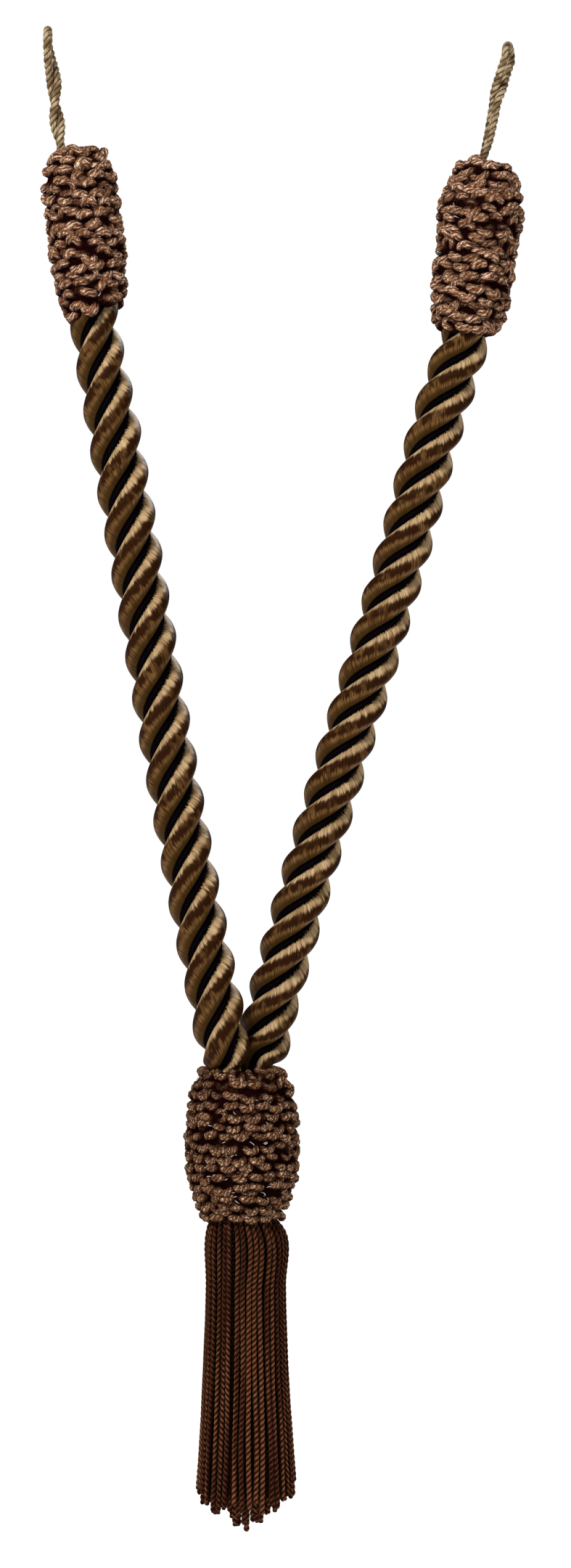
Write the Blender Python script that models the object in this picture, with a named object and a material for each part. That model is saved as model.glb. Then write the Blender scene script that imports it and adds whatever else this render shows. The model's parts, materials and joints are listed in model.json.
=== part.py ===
"""Curtain tieback with a tassel, hanging from its two cord loops.

Two arms of thick laid rope run down from knotted sleeves into a knotted barrel head, and a skirt
of fine cords hangs below the head.  Metres, +Z up, the front faces -Y.  The origin is the point
where the left-hand loop bears on its hook.
"""

import math
import random

import bmesh
import bpy
import numpy as np
from mathutils import Matrix, Vector

MM = 0.001
GAP = 0.3 * MM  # between pieces that touch
FINE_SAMPLES = 2000  # along a route, before it is cut into even steps

# Thick rope: three round plies laid to the right.
PLIES = 3
ROPE_PLY_RADIUS = 6.3 * MM
ROPE_PLY_OUT = 7.3 * MM  # from the rope's axis to a ply's
ROPE_PITCH = {"left": 62.0 * MM, "right": 60.0 * MM}
ROPE_PHASE = {"left": -19.5, "right": 75.0}  # degrees the lay starts at, inside the sleeve
ROPE_STEPS = 13  # sections in one turn
ROPE_PROFILE_POINTS = 4  # round one ply
ROPE_RADIUS = ROPE_PLY_OUT + ROPE_PLY_RADIUS
ROPE_TOP_SWELL = 0.92  # share of the full thickness, where the sleeves bind the arms
ROPE_END_SWELL = 0.70  # and where the head holds them

# Hanging loops: a thin laid cord doubled and left to twist on itself.
CORD_RADIUS = 2.0 * MM
CORD_PLY_RADIUS = 1.15 * MM
CORD_PROFILE_POINTS = 2
CORD_PITCH = 10.0 * MM
CORD_STEPS = 8
LEGS_APART = 4.2 * MM  # centre to centre, where the two legs twist together
EYE_RADIUS = 7.0 * MM  # of the cord's centreline round the hook's eye
EYE_STEPS = 16  # along that half circle
EYE_DROP = 16.0 * MM  # from the eye's centre down to where the legs meet

# Knotted covers: rows of short gimp loops that stand out of the surface.
RELIEF = 2.6 * MM  # crest of a row over the groove under it
KNOT_DIP = 0.75  # share of the relief, between two loops of a row
RIM_DIP = 0.3  # share of the relief, at the two end faces
UNEVEN = 0.5 * MM
DROOP = 1.0 * MM
NEAR = 0.01 * MM  # closer than this is the same place

# Head and skirt.
HEAD_CENTRE = 96.3 * MM  # across from the hook
HEAD_BASE = -587.5 * MM  # height of the head's lower face
ROPE_SOCKET_DEPTH = 14.0 * MM
SOCKET_SIDES = 24
SOCKET_PROUD = 4.0 * MM  # of a cutter over the mouth that it cuts
HEADING_RADIUS = 17.2 * MM
HEADING_TALL = 5.0 * MM
HEADING_RECESS = 4.0 * MM
HEADING_SIDES = 40
STRAND_RADIUS = 1.25 * MM
STRAND_ROOT_SWELL = 0.75
SKIRT_FALL = 137.5 * MM  # of a strand at the sides, below the head
SKIRT_FULLER = 6.0 * MM  # more at the front and the back
SKIRT_RING_MORE = 2.0 * MM  # more for each ring further in
SKIRT_UNEVEN = 4.5 * MM
SKIRT_DRIFT = 1.8 * MM  # sideways, from the head's axis to the skirt's
SKIRT_SHOULDER = 6.0 * MM  # below the head, where the strands turn straight down
SKIRT_WAIST = 0.55  # share of the fall where the strands begin to spread

# The arms' centrelines below the sleeves, millimetres from the hook: across to the right, depth to
# the back, height, and swell, the share of the full thickness.
ARM_ROWS = {
    "left": (
        (33.1, 0.0, -199.1, 1.0),
        (42.4, 0.0, -253.1, 1.0),
        (51.5, 0.0, -307.1, 1.0),
        (60.6, 0.0, -361.1, 1.0),
        (70.3, -1.0, -415.1, 1.0),
        (80.4, -4.8, -467.0, 1.0),
        (84.8, -7.4, -488.0, 1.0),
        (87.0, -8.1, -501.5, 0.98),
        (88.1, -6.8, -507.2, 0.88),
        (88.6, -5.7, -510.8, 0.70),
        (88.6, -5.7, -516.0, 0.70),
        (88.6, -5.7, -526.2, 0.70),
    ),
    "right": (
        (199.2, 0.0, -174.0, 1.0),
        (191.6, 0.0, -199.1, 1.0),
        (177.3, 0.0, -253.1, 1.0),
        (161.6, 0.0, -307.1, 1.0),
        (145.4, 0.0, -361.1, 1.0),
        (129.6, 1.0, -415.1, 1.0),
        (115.2, 4.8, -467.0, 1.0),
        (109.6, 7.4, -488.0, 1.0),
        (107.0, 8.1, -501.5, 0.98),
        (105.4, 6.8, -507.2, 0.88),
        (104.4, 5.7, -510.8, 0.70),
        (104.4, 5.7, -516.0, 0.70),
        (104.4, 5.7, -525.8, 0.70),
    ),
}

# The sleeves, millimetres and degrees: the middle of the lower face, the lean to the right going
# up, and how far across from the axis the loop goes in.
SLEEVES = {
    "left": {"base": (23.0, 0.0, -141.5), "lean": -6.0, "loop": -7.2},
    "right": {"base": (207.4, 0.0, -148.5), "lean": 7.0, "loop": -3.0},
}
ROPE_IN_SLEEVE = 24.0 * MM
LOOP_IN_SLEEVE = 4.0 * MM

# Outlines over the crests of the gimp loops, millimetres: height above the lower face, radius.
SLEEVE_OUTLINE = {
    "left": (
        (0, 15.8),
        (3, 16.1),
        (9, 17.4),
        (17, 18.9),
        (27, 19.4),
        (34, 20.3),
        (43, 19.5),
        (52, 19.5),
        (60, 20.2),
        (69, 19.6),
        (74, 18.4),
        (79, 16.8),
        (85, 12.8),
    ),
    "right": (
        (0, 16.4),
        (5, 17.8),
        (14, 20.0),
        (24, 21.4),
        (34, 20.9),
        (44, 20.8),
        (54, 22.2),
        (62, 22.1),
        (70, 20.6),
        (76, 18.2),
        (81, 15.8),
        (85.5, 13.2),
    ),
}
HEAD_OUTLINE = (
    (0, 20.2),
    (4.5, 22.0),
    (9.5, 24.0),
    (14.5, 26.4),
    (19.5, 27.8),
    (25.5, 28.7),
    (32.5, 29.2),
    (42.5, 29.2),
    (50.5, 28.7),
    (55.5, 28.1),
    (60.5, 27.1),
    (65.5, 26.2),
    (70.5, 23.6),
    (75, 22.0),
)
HEAD_TALL = HEAD_OUTLINE[-1][0] * MM
SLEEVE_KNOTS = {"rows": 11, "around": 10, "columns": 3}
HEAD_KNOTS = {"rows": 12, "around": 18, "columns": 2}

# The loops' routes from the eye down, millimetres from the hook: across, depth, height, and the
# turn of the two legs about each other in degrees, 90 where one leg is behind the other.  The
# last turn is the one at the sleeve.
LOOP_ROWS = {
    "left": (
        (0.0, 0.0, -5.0, 90.0),
        (1.2, 0.0, -13.0, 76.0),
        (2.0, 0.0, -17.3, 55.0),
        (2.8, 0.0, -22.0, 10.0),
        (3.6, 0.0, -34.5, -90.0),
        (4.7, 0.0, -44.3, -180.0),
        (5.9, 0.0, -52.5, -260.0),
    ),
    "right": (
        (228.4, 0.0, -12.7, 76.0),
        (226.4, 0.0, -18.5, 70.0),
        (225.2, 0.0, -22.5, 58.0),
        (224.0, 0.0, -26.5, 22.0),
        (222.6, 0.0, -31.5, -40.0),
        (220.6, 0.0, -42.0, -62.0),
        (218.4, 0.0, -53.0, -72.0),
    ),
}
LOOP_LAST_TURN = {"left": -285.0, "right": -110.0}
LOOP_ROUTE_STEP = 1.25  # millimetres

# The skirt's rings of strands, millimetres: how many, and the ring's radius at the root, under
# the head and at the hem.
SKIRT_RINGS = (
    (38, 14.6, 18.8, 23.8),
    (30, 11.8, 15.5, 19.6),
    (22, 8.9, 12.2, 15.2),
    (12, 5.6, 8.4, 10.6),
)

FINISHES = {
    "gold_rope": ((0.20, 0.13, 0.055), 0.38),
    "tan_cord": ((0.26, 0.20, 0.12), 0.62),
    "brown_gimp": ((0.17, 0.085, 0.048), 0.60),
    "brown_skirt": ((0.085, 0.040, 0.022), 0.55),
}


def clear_scene():
    for obj in list(bpy.data.objects):
        bpy.data.objects.remove(obj, do_unlink=True)
    for spare in list(bpy.data.collections):
        bpy.data.collections.remove(spare)


def make_collection(name, hidden=False):
    made = bpy.data.collections.new(name)
    bpy.context.scene.collection.children.link(made)
    made.hide_render = hidden
    return made


def finish(name):
    colour, roughness = FINISHES[name]
    material = bpy.data.materials.new(name)
    material.use_nodes = True
    shader = material.node_tree.nodes["Principled BSDF"]
    shader.inputs["Base Color"].default_value = (*colour, 1.0)
    shader.inputs["Roughness"].default_value = roughness
    shader.inputs["Metallic"].default_value = 0.0
    return material


def add_object(name, data, material):
    obj = bpy.data.objects.new(name, data)
    obj.data.materials.append(material)
    PARTS.objects.link(obj)
    return obj


def add_guide(name, data):
    """A helper that shapes a part and isn't one."""
    guide = bpy.data.objects.new(name, data)
    guide.hide_render = True
    guide.display_type = "WIRE"
    GUIDES.objects.link(guide)
    return guide


def move_home(obj, collection):
    for home in list(obj.users_collection):
        home.objects.unlink(obj)
    collection.objects.link(obj)


def smooth_route(rows, spacing):
    """The columns of rows, read along one smooth curve through them at even steps."""
    rows = np.array(rows, float)
    spans = np.linalg.norm(np.diff(rows[:, :3], axis=0), axis=1)
    slopes = np.diff(rows, axis=0) / spans[:, None]
    before, after = spans[:-1, None], spans[1:, None]
    inner = (slopes[:-1] * after + slopes[1:] * before) / (before + after)
    tangents = np.vstack([slopes[:1], inner, slopes[-1:]])
    knots = np.concatenate([[0.0], np.cumsum(spans)])
    at = np.linspace(0.0, knots[-1], FINE_SAMPLES)
    leg = np.clip(np.searchsorted(knots, at, side="right") - 1, 0, len(spans) - 1)
    span = spans[leg][:, None]
    t = (at - knots[leg])[:, None] / span
    fine = (2 * t**3 - 3 * t**2 + 1) * rows[leg]
    fine += (3 * t**2 - 2 * t**3) * rows[leg + 1]
    fine += (t**3 - 2 * t**2 + t) * span * tangents[leg]
    fine += (t**3 - t**2) * span * tangents[leg + 1]
    steps_walked = np.linalg.norm(np.diff(fine[:, :3], axis=0), axis=1)
    walked = np.concatenate([[0.0], np.cumsum(steps_walked)])
    steps = max(2, round(walked[-1] / spacing))
    even = np.linspace(0.0, walked[-1], steps + 1)
    return np.stack([np.interp(even, walked, column) for column in fine.T], axis=1)


def laid_profile(name, ply_out, ply_radius, points_per_ply):
    """The outline of three round plies side by side, as a closed guide curve."""
    outline = []
    for step in range(PLIES * points_per_ply):
        across = (step % points_per_ply) / points_per_ply * math.tau / PLIES - math.pi / PLIES
        reach = ply_radius**2 - (ply_out * math.sin(across)) ** 2
        radius = ply_out * math.cos(across) + math.sqrt(max(reach, 0.0))
        angle = step * math.tau / (PLIES * points_per_ply)
        outline.append((radius * math.cos(angle), radius * math.sin(angle), 0.0, 1.0))
    curve = bpy.data.curves.new(name, "CURVE")
    curve.dimensions = "2D"
    curve.fill_mode = "NONE"
    spline = curve.splines.new("POLY")
    spline.points.add(len(outline) - 1)
    for point, place in zip(spline.points, reversed(outline)):
        point.co = place
    spline.use_cyclic_u = True
    return add_guide(name, curve)


def laid_cord(name, places, swells, pitch, phase, profile, material):
    """A cord swept along places, whose lobed outline turns once in every pitch."""
    curve = bpy.data.curves.new(name, "CURVE")
    curve.dimensions = "3D"
    curve.twist_mode = "MINIMUM"
    curve.bevel_mode = "OBJECT"
    curve.bevel_object = profile
    curve.use_fill_caps = True
    spline = curve.splines.new("POLY")
    spline.points.add(len(places) - 1)
    walked = 0.0
    for i, (point, place, swell) in enumerate(zip(spline.points, places, swells)):
        walked += math.dist(place, places[max(i - 1, 0)])
        point.co = (*place, 1.0)
        point.radius = swell
        point.tilt = math.radians(phase) + math.tau * walked / pitch
    return add_object(name, curve, material)


def in_sleeve(side, across, up):
    """A point in a sleeve, across from its axis and up from its lower face."""
    lean = Matrix.Rotation(math.radians(SLEEVES[side]["lean"]), 3, "Y")
    return Vector(SLEEVES[side]["base"]) + lean @ Vector((across, 0.0, up))


def arm(side):
    pitch = ROPE_PITCH[side]
    bound = [
        (*in_sleeve(side, 0.0, share * ROPE_IN_SLEEVE / MM), ROPE_TOP_SWELL)
        for share in (1.0, 0.5, 0.0)
    ]
    route = smooth_route(bound + list(ARM_ROWS[side]), pitch / MM / ROPE_STEPS)
    places = [tuple(row[:3] * MM) for row in route]
    lay = (pitch, ROPE_PHASE[side], ROPE_PROFILE)
    return laid_cord("rope_" + side, places, route[:, 3], *lay, MATERIALS["gold_rope"])


def loop_places(side):
    """Up one leg of a loop, over its eye and down the other leg."""
    foot = SLEEVE_OUTLINE[side][-1][0] - (LOOP_IN_SLEEVE - 3 * GAP) / MM
    last = (*in_sleeve(side, SLEEVES[side]["loop"], foot), LOOP_LAST_TURN[side])
    rows = smooth_route([*LOOP_ROWS[side], last], LOOP_ROUTE_STEP)
    legs = [[], []]
    top = rows[0, 2]
    for across, depth, height, turn in rows:
        closed = min(1.0, max(0.0, (top - height) * MM / EYE_DROP))
        blend = closed * closed * (3.0 - 2.0 * closed)
        apart = EYE_RADIUS + (LEGS_APART / 2.0 - EYE_RADIUS) * blend
        angle = math.radians(turn)
        for leg, sign in zip(legs, (1.0, -1.0)):
            x = across * MM + sign * apart * math.cos(angle)
            y = depth * MM + sign * apart * math.sin(angle)
            leg.append((x, y, height * MM))
    centre = Vector(rows[0, :3] * MM)
    turn = math.radians(rows[0, 3])
    outward = Vector((math.cos(turn), math.sin(turn), 0.0))
    upward = Vector((0.0, 0.0, 1.0))
    arch = []
    for step in range(1, EYE_STEPS):
        angle = math.pi * step / EYE_STEPS
        reach = outward * math.cos(angle) + upward * math.sin(angle)
        arch.append(tuple(centre + EYE_RADIUS * reach))
    return legs[0][::-1] + arch + legs[1]


def hanging_loop(side):
    rows = [(*(Vector(place) / MM), 1.0) for place in loop_places(side)]
    route = smooth_route(rows, CORD_PITCH / MM / CORD_STEPS)
    places = [tuple(row[:3] * MM) for row in route]
    lay = (CORD_PITCH, 0.0, CORD_PROFILE)
    return laid_cord("loop_" + side, places, route[:, 3], *lay, MATERIALS["tan_cord"])


def outline_radius(outline, height):
    heights, radii = zip(*outline)
    return float(np.interp(height / MM, heights, radii)) * MM


def ring_order(vert):
    """Lower rings first, each from the same side round."""
    return round(vert.co.z, 6), round(math.atan2(vert.co.y, vert.co.x), 4)


def knotted_cover(name, outline, knots, well_radius, well_depth, seed):
    """A turned body whose outside stands up in staggered rows of short gimp loops."""
    tall = outline[-1][0] * MM
    rows, columns = knots["rows"], knots["around"] * knots["columns"]
    rings = [tall * ring / (2 * rows) for ring in range(2 * rows + 1)]
    profile = [(0.0, well_depth), (well_radius, well_depth), (well_radius, 0.0)]
    profile += [(outline_radius(outline, height), height) for height in rings]
    profile.append((0.0, tall))
    bm = bmesh.new()
    chain = [bm.verts.new((radius, 0.0, height)) for radius, height in profile]
    edges = [bm.edges.new(pair) for pair in zip(chain, chain[1:])]
    bmesh.ops.spin(
        bm,
        geom=chain + edges,
        cent=(0, 0, 0),
        axis=(0, 0, 1),
        dvec=(0, 0, 0),
        angle=math.tau,
        steps=columns,
        use_merge=True,
    )
    bmesh.ops.remove_doubles(bm, verts=bm.verts[:], dist=NEAR)
    draw = random.Random(seed)
    for vert in sorted(bm.verts, key=ring_order):
        radius = math.hypot(vert.co.x, vert.co.y)
        ring = round(vert.co.z / tall * 2 * rows)
        inside = radius < outline_radius(outline, vert.co.z) - NEAR
        if inside or abs(vert.co.z - rings[ring]) > NEAR:
            continue
        column = round(math.atan2(vert.co.y, vert.co.x) / math.tau * columns) % columns
        row = ring // 2
        along = (column + row * (knots["columns"] // 2 + row % 2)) % knots["columns"]
        crest = ring % 2 == 1 and along != 0
        if crest:
            dip = 0.0
        elif ring in (0, 2 * rows):
            dip = RIM_DIP
        else:
            dip = KNOT_DIP if ring % 2 else 1.0
        radius += draw.uniform(-UNEVEN, UNEVEN) - dip * RELIEF
        angle = math.tau * column / columns
        vert.co.x = radius * math.cos(angle)
        vert.co.y = radius * math.sin(angle)
        if crest:
            vert.co.z -= DROOP
    bmesh.ops.recalc_face_normals(bm, faces=bm.faces[:])
    mesh = bpy.data.meshes.new(name)
    bm.to_mesh(mesh)
    bm.free()
    return add_object(name, mesh, MATERIALS["brown_gimp"])


def socket(host, centre, axis, radius, depth):
    """Cuts a round blind hole into host, down axis from a mouth at centre."""
    bpy.ops.mesh.primitive_cylinder_add(
        vertices=SOCKET_SIDES, radius=radius, depth=depth + SOCKET_PROUD
    )
    cutter = bpy.context.object
    cutter.name = host.name + "_cutter"
    axis = Vector(axis).normalized()
    cutter.location = Vector(centre) + axis * ((depth - SOCKET_PROUD) / 2.0)
    cutter.rotation_euler = axis.to_track_quat("Z", "X").to_euler()
    move_home(cutter, GUIDES)
    cutter.hide_render = True
    cutter.display_type = "WIRE"
    cut = host.modifiers.new("socket", "BOOLEAN")
    cut.operation = "DIFFERENCE"
    cut.object = cutter


def sleeve(side, seed):
    place = SLEEVES[side]
    outline = SLEEVE_OUTLINE[side]
    well = (ROPE_RADIUS * ROPE_TOP_SWELL + GAP, ROPE_IN_SLEEVE + GAP)
    made = knotted_cover("sleeve_" + side, outline, SLEEVE_KNOTS, *well, seed)
    made.location = in_sleeve(side, 0.0, 0.0) * MM
    made.rotation_euler = (0.0, math.radians(place["lean"]), 0.0)
    mouth = in_sleeve(side, place["loop"], outline[-1][0]) * MM
    down = in_sleeve(side, 0.0, 0.0) - in_sleeve(side, 0.0, 1.0)
    socket(made, mouth, down, LEGS_APART / 2 + CORD_RADIUS + 2 * GAP, LOOP_IN_SLEEVE)
    return made


def head():
    well = (HEADING_RADIUS + GAP, HEADING_RECESS)
    made = knotted_cover("head", HEAD_OUTLINE, HEAD_KNOTS, *well, seed=5)
    made.location = (HEAD_CENTRE, 0.0, HEAD_BASE)
    for side in ARM_ROWS:
        across, depth, _, _ = ARM_ROWS[side][-1]
        mouth = (across * MM, depth * MM, HEAD_BASE + HEAD_TALL)
        socket(made, mouth, (0, 0, -1), ROPE_RADIUS * ROPE_END_SWELL + GAP, ROPE_SOCKET_DEPTH)
    return made


def strand_bundle():
    """Every strand of the skirt, as four-sided tubes in one guide mesh."""
    curve = bpy.data.curves.new("strands", "CURVE")
    curve.dimensions = "3D"
    curve.bevel_depth = STRAND_RADIUS
    curve.bevel_resolution = 0
    curve.use_fill_caps = True
    draw = random.Random(11)
    for ring, (count, root, under, hem) in enumerate(SKIRT_RINGS):
        for index in range(count):
            angle = math.tau * (index + 0.5 * (ring % 2)) / count
            out = Vector((math.cos(angle), math.sin(angle), 0.0))
            fall = SKIRT_FALL + ring * SKIRT_RING_MORE + abs(math.sin(angle)) * SKIRT_FULLER
            fall += draw.uniform(-SKIRT_UNEVEN, SKIRT_UNEVEN)
            stations = (
                (root, HEADING_RECESS - GAP - HEADING_TALL / 2, STRAND_ROOT_SWELL, 0.0),
                (under, -SKIRT_SHOULDER, 1.0, SKIRT_DRIFT),
                (under + (hem - under) * SKIRT_WAIST**2, -SKIRT_WAIST * fall, 1.0, SKIRT_DRIFT),
                (hem, -fall, 1.0, SKIRT_DRIFT),
            )
            spline = curve.splines.new("POLY")
            spline.points.add(len(stations) - 1)
            for point, (radius, height, swell, drift) in zip(spline.points, stations):
                place = out * radius * MM + Vector((drift, 0.0, height))
                point.co = (*place, 1.0)
                point.radius = swell
    source = bpy.data.objects.new("strands_curve", curve)
    GUIDES.objects.link(source)
    graph = bpy.context.evaluated_depsgraph_get()
    mesh = bpy.data.meshes.new_from_object(source.evaluated_get(graph))
    bpy.data.objects.remove(source)
    bm = bmesh.new()
    bm.from_mesh(mesh)
    bmesh.ops.remove_doubles(bm, verts=bm.verts[:], dist=0.001 * MM)
    bmesh.ops.recalc_face_normals(bm, faces=bm.faces[:])
    bm.to_mesh(mesh)
    bm.free()
    return add_guide("strands", mesh)


def skirt():
    """A bound heading that the strands grow out of."""
    bpy.ops.mesh.primitive_cylinder_add(
        vertices=HEADING_SIDES, radius=HEADING_RADIUS, depth=HEADING_TALL
    )
    made = bpy.context.object
    made.name = "skirt"
    made.data.materials.append(MATERIALS["brown_skirt"])
    move_home(made, PARTS)
    middle = HEADING_RECESS - GAP - HEADING_TALL / 2.0
    made.data.transform(Matrix.Translation((0.0, 0.0, middle)))
    strands = strand_bundle()
    made.location = strands.location = (HEAD_CENTRE, 0.0, HEAD_BASE)
    join = made.modifiers.new("roots", "BOOLEAN")
    join.operation = "UNION"
    join.object = strands
    return made


clear_scene()
PARTS = make_collection("curtain_tieback")
GUIDES = make_collection("guides", hidden=True)
MATERIALS = {name: finish(name) for name in FINISHES}
ROPE_PROFILE = laid_profile(
    "rope_profile", ROPE_PLY_OUT, ROPE_PLY_RADIUS, ROPE_PROFILE_POINTS
)
CORD_PROFILE = laid_profile(
    "cord_profile", CORD_RADIUS - CORD_PLY_RADIUS, CORD_PLY_RADIUS, CORD_PROFILE_POINTS
)

for seed, side in enumerate(ARM_ROWS, start=1):
    arm(side)
    sleeve(side, seed)
    hanging_loop(side)
head()
skirt()
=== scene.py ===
# %% [markdown]
# # A curtain tieback with a tassel
#
# A tieback gathers a curtain and holds it to the wall.  This one is passementerie: two arms of
# thick satin rope run from knotted sleeves into a knotted tassel head, and a skirt of fine cords
# hangs below.  A thin cord loop at the top of each sleeve goes over a hook.
#
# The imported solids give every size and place.  This lesson dresses them with yarn, gimp and
# twisted cord.  It works in metres, with +Z up and the front towards -Y.  The tables of points are
# in millimetres, from the left-hand hook or from the middle of a piece's lower face.

import json
import math
import random

import bmesh
import bpy
import numpy as np
from mathutils import Matrix, Vector
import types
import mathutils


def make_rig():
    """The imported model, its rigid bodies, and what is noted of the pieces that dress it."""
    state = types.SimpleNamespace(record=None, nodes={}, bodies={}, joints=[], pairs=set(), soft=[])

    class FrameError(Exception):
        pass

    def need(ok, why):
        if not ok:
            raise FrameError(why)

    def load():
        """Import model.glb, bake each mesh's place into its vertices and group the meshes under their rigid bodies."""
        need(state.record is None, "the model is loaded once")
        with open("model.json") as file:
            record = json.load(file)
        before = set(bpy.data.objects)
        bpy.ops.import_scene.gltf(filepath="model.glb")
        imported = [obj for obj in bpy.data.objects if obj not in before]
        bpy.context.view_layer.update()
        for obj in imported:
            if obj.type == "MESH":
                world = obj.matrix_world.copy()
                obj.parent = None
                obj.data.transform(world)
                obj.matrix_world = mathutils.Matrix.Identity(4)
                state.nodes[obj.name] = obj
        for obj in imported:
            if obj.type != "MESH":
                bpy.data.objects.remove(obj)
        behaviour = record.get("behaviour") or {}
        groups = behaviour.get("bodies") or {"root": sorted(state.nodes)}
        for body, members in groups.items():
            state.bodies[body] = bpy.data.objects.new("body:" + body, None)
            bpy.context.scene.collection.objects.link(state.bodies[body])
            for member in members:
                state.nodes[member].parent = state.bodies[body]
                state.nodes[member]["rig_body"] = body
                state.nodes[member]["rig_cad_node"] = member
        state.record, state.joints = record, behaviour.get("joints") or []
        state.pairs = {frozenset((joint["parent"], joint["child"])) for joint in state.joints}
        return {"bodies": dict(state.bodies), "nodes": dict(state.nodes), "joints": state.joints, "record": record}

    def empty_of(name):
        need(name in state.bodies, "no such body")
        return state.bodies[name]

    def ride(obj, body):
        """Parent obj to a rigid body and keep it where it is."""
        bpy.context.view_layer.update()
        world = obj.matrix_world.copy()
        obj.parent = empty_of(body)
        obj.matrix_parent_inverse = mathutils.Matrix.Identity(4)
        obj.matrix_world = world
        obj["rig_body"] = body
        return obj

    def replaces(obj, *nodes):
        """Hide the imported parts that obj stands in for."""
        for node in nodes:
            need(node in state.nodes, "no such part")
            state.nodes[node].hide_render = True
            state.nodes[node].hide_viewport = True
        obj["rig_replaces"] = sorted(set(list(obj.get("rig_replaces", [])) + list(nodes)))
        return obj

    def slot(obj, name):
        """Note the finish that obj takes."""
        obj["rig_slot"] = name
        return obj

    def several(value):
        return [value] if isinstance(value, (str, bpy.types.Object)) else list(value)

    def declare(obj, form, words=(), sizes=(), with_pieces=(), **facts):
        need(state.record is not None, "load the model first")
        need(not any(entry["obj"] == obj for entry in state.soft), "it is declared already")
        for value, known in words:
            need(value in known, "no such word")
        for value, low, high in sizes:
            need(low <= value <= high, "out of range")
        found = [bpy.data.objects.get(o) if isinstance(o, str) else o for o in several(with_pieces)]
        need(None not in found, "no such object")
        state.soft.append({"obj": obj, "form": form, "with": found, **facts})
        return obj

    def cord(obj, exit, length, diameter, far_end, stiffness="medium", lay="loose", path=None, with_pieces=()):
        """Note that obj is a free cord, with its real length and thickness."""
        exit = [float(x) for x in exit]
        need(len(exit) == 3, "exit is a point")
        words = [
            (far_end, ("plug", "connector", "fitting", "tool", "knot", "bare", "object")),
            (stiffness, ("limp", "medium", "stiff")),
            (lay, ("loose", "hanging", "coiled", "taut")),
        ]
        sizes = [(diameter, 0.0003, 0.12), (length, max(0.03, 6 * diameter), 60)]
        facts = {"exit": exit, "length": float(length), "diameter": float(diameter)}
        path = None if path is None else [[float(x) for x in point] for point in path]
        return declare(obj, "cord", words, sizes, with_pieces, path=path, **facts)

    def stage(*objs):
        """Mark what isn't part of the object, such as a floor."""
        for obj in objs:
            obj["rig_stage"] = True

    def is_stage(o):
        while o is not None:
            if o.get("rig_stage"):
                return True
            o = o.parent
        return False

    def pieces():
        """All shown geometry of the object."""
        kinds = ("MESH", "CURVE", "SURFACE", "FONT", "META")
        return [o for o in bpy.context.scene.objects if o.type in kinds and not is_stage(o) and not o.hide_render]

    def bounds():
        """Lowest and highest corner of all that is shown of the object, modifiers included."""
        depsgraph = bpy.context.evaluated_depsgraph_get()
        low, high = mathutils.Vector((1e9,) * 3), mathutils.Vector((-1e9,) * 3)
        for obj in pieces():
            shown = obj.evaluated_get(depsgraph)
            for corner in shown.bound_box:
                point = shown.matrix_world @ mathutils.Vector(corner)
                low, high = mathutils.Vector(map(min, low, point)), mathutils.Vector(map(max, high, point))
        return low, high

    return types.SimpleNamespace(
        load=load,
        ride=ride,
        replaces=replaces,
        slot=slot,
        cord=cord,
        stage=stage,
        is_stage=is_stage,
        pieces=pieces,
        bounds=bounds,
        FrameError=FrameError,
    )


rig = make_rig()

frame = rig.load()
cad_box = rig.bounds()
print("solids:", ", ".join(sorted(frame["nodes"])))

# %% [markdown]
# ## Camera
#
# A long lens a few steps away, level with the middle of the tieback, shows the arms nearly as a
# flat drawing would.  The lens follows from the height that the picture covers at the hooks'
# plane, so its scale is one number.

# %% Camera
MM = 0.001
PICTURE_WIDE, PICTURE_TALL = 787, 2161
PIXEL = 0.36 * MM  # at the plane of the arms
HOOK_PIXEL = (66, 47)  # where the left-hand hook is in the picture
CAMERA_AWAY = 2.4
SENSOR = 36.0

camera_data = bpy.data.cameras.new("camera")
camera_data.sensor_width = SENSOR
camera_data.lens = SENSOR * CAMERA_AWAY / (PICTURE_TALL * PIXEL)
camera = bpy.data.objects.new("camera", camera_data)
camera.location = (
    (PICTURE_WIDE / 2 - HOOK_PIXEL[0]) * PIXEL,
    -CAMERA_AWAY,
    (HOOK_PIXEL[1] - PICTURE_TALL / 2) * PIXEL,
)
camera.rotation_euler = (math.radians(90), 0, 0)
bpy.context.scene.collection.objects.link(camera)
bpy.context.scene.camera = camera
print(f"lens {camera_data.lens:.1f} mm, {CAMERA_AWAY} m away")

# %% [markdown]
# ## Shader maths
#
# A material's numbers are easier to read as sums than as a web of nodes.  A `Wire` holds one output
# of one node.  Sums of wires add Math nodes, and `node` adds any other kind.  The patterns are soft
# noise, read in place on the object or along a cord.

# %% Wires between shader nodes
class Wire:
    """One output of a shader node, with arithmetic that adds Math nodes to its tree."""

    def __init__(self, tree, socket=None):
        self.tree = tree
        self.socket = socket

    def node(self, kind, settings=None, inputs=None, output=0):
        """Any node: its settings go in first, then its sockets' values or wires."""
        made = self.tree.nodes.new(kind)
        for name, value in (settings or {}).items():
            setattr(made, name, value)
        for key, value in (inputs or {}).items():
            if isinstance(value, Wire):
                self.tree.links.new(value.socket, made.inputs[key])
            else:
                made.inputs[key].default_value = value
        return Wire(self.tree, made.outputs[output])

    def math(self, operation, *values):
        return self.node("ShaderNodeMath", {"operation": operation}, dict(enumerate(values)))

    def __add__(self, other):
        return self.math("ADD", self, other)

    def __sub__(self, other):
        return self.math("SUBTRACT", self, other)

    def __rsub__(self, other):
        return self.math("SUBTRACT", other, self)

    def __mul__(self, other):
        return self.math("MULTIPLY", self, other)

    def __abs__(self):
        return self.math("ABSOLUTE", self)

    __radd__ = __add__
    __rmul__ = __mul__

    def between(self, low, high):
        """0 below low and 1 above high, with a soft step between; high may be the lower one."""
        settings = {"interpolation_type": "SMOOTHSTEP"}
        inputs = {"Value": self, "From Min": low, "From Max": high}
        return self.node("ShaderNodeMapRange", settings, inputs)


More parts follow.
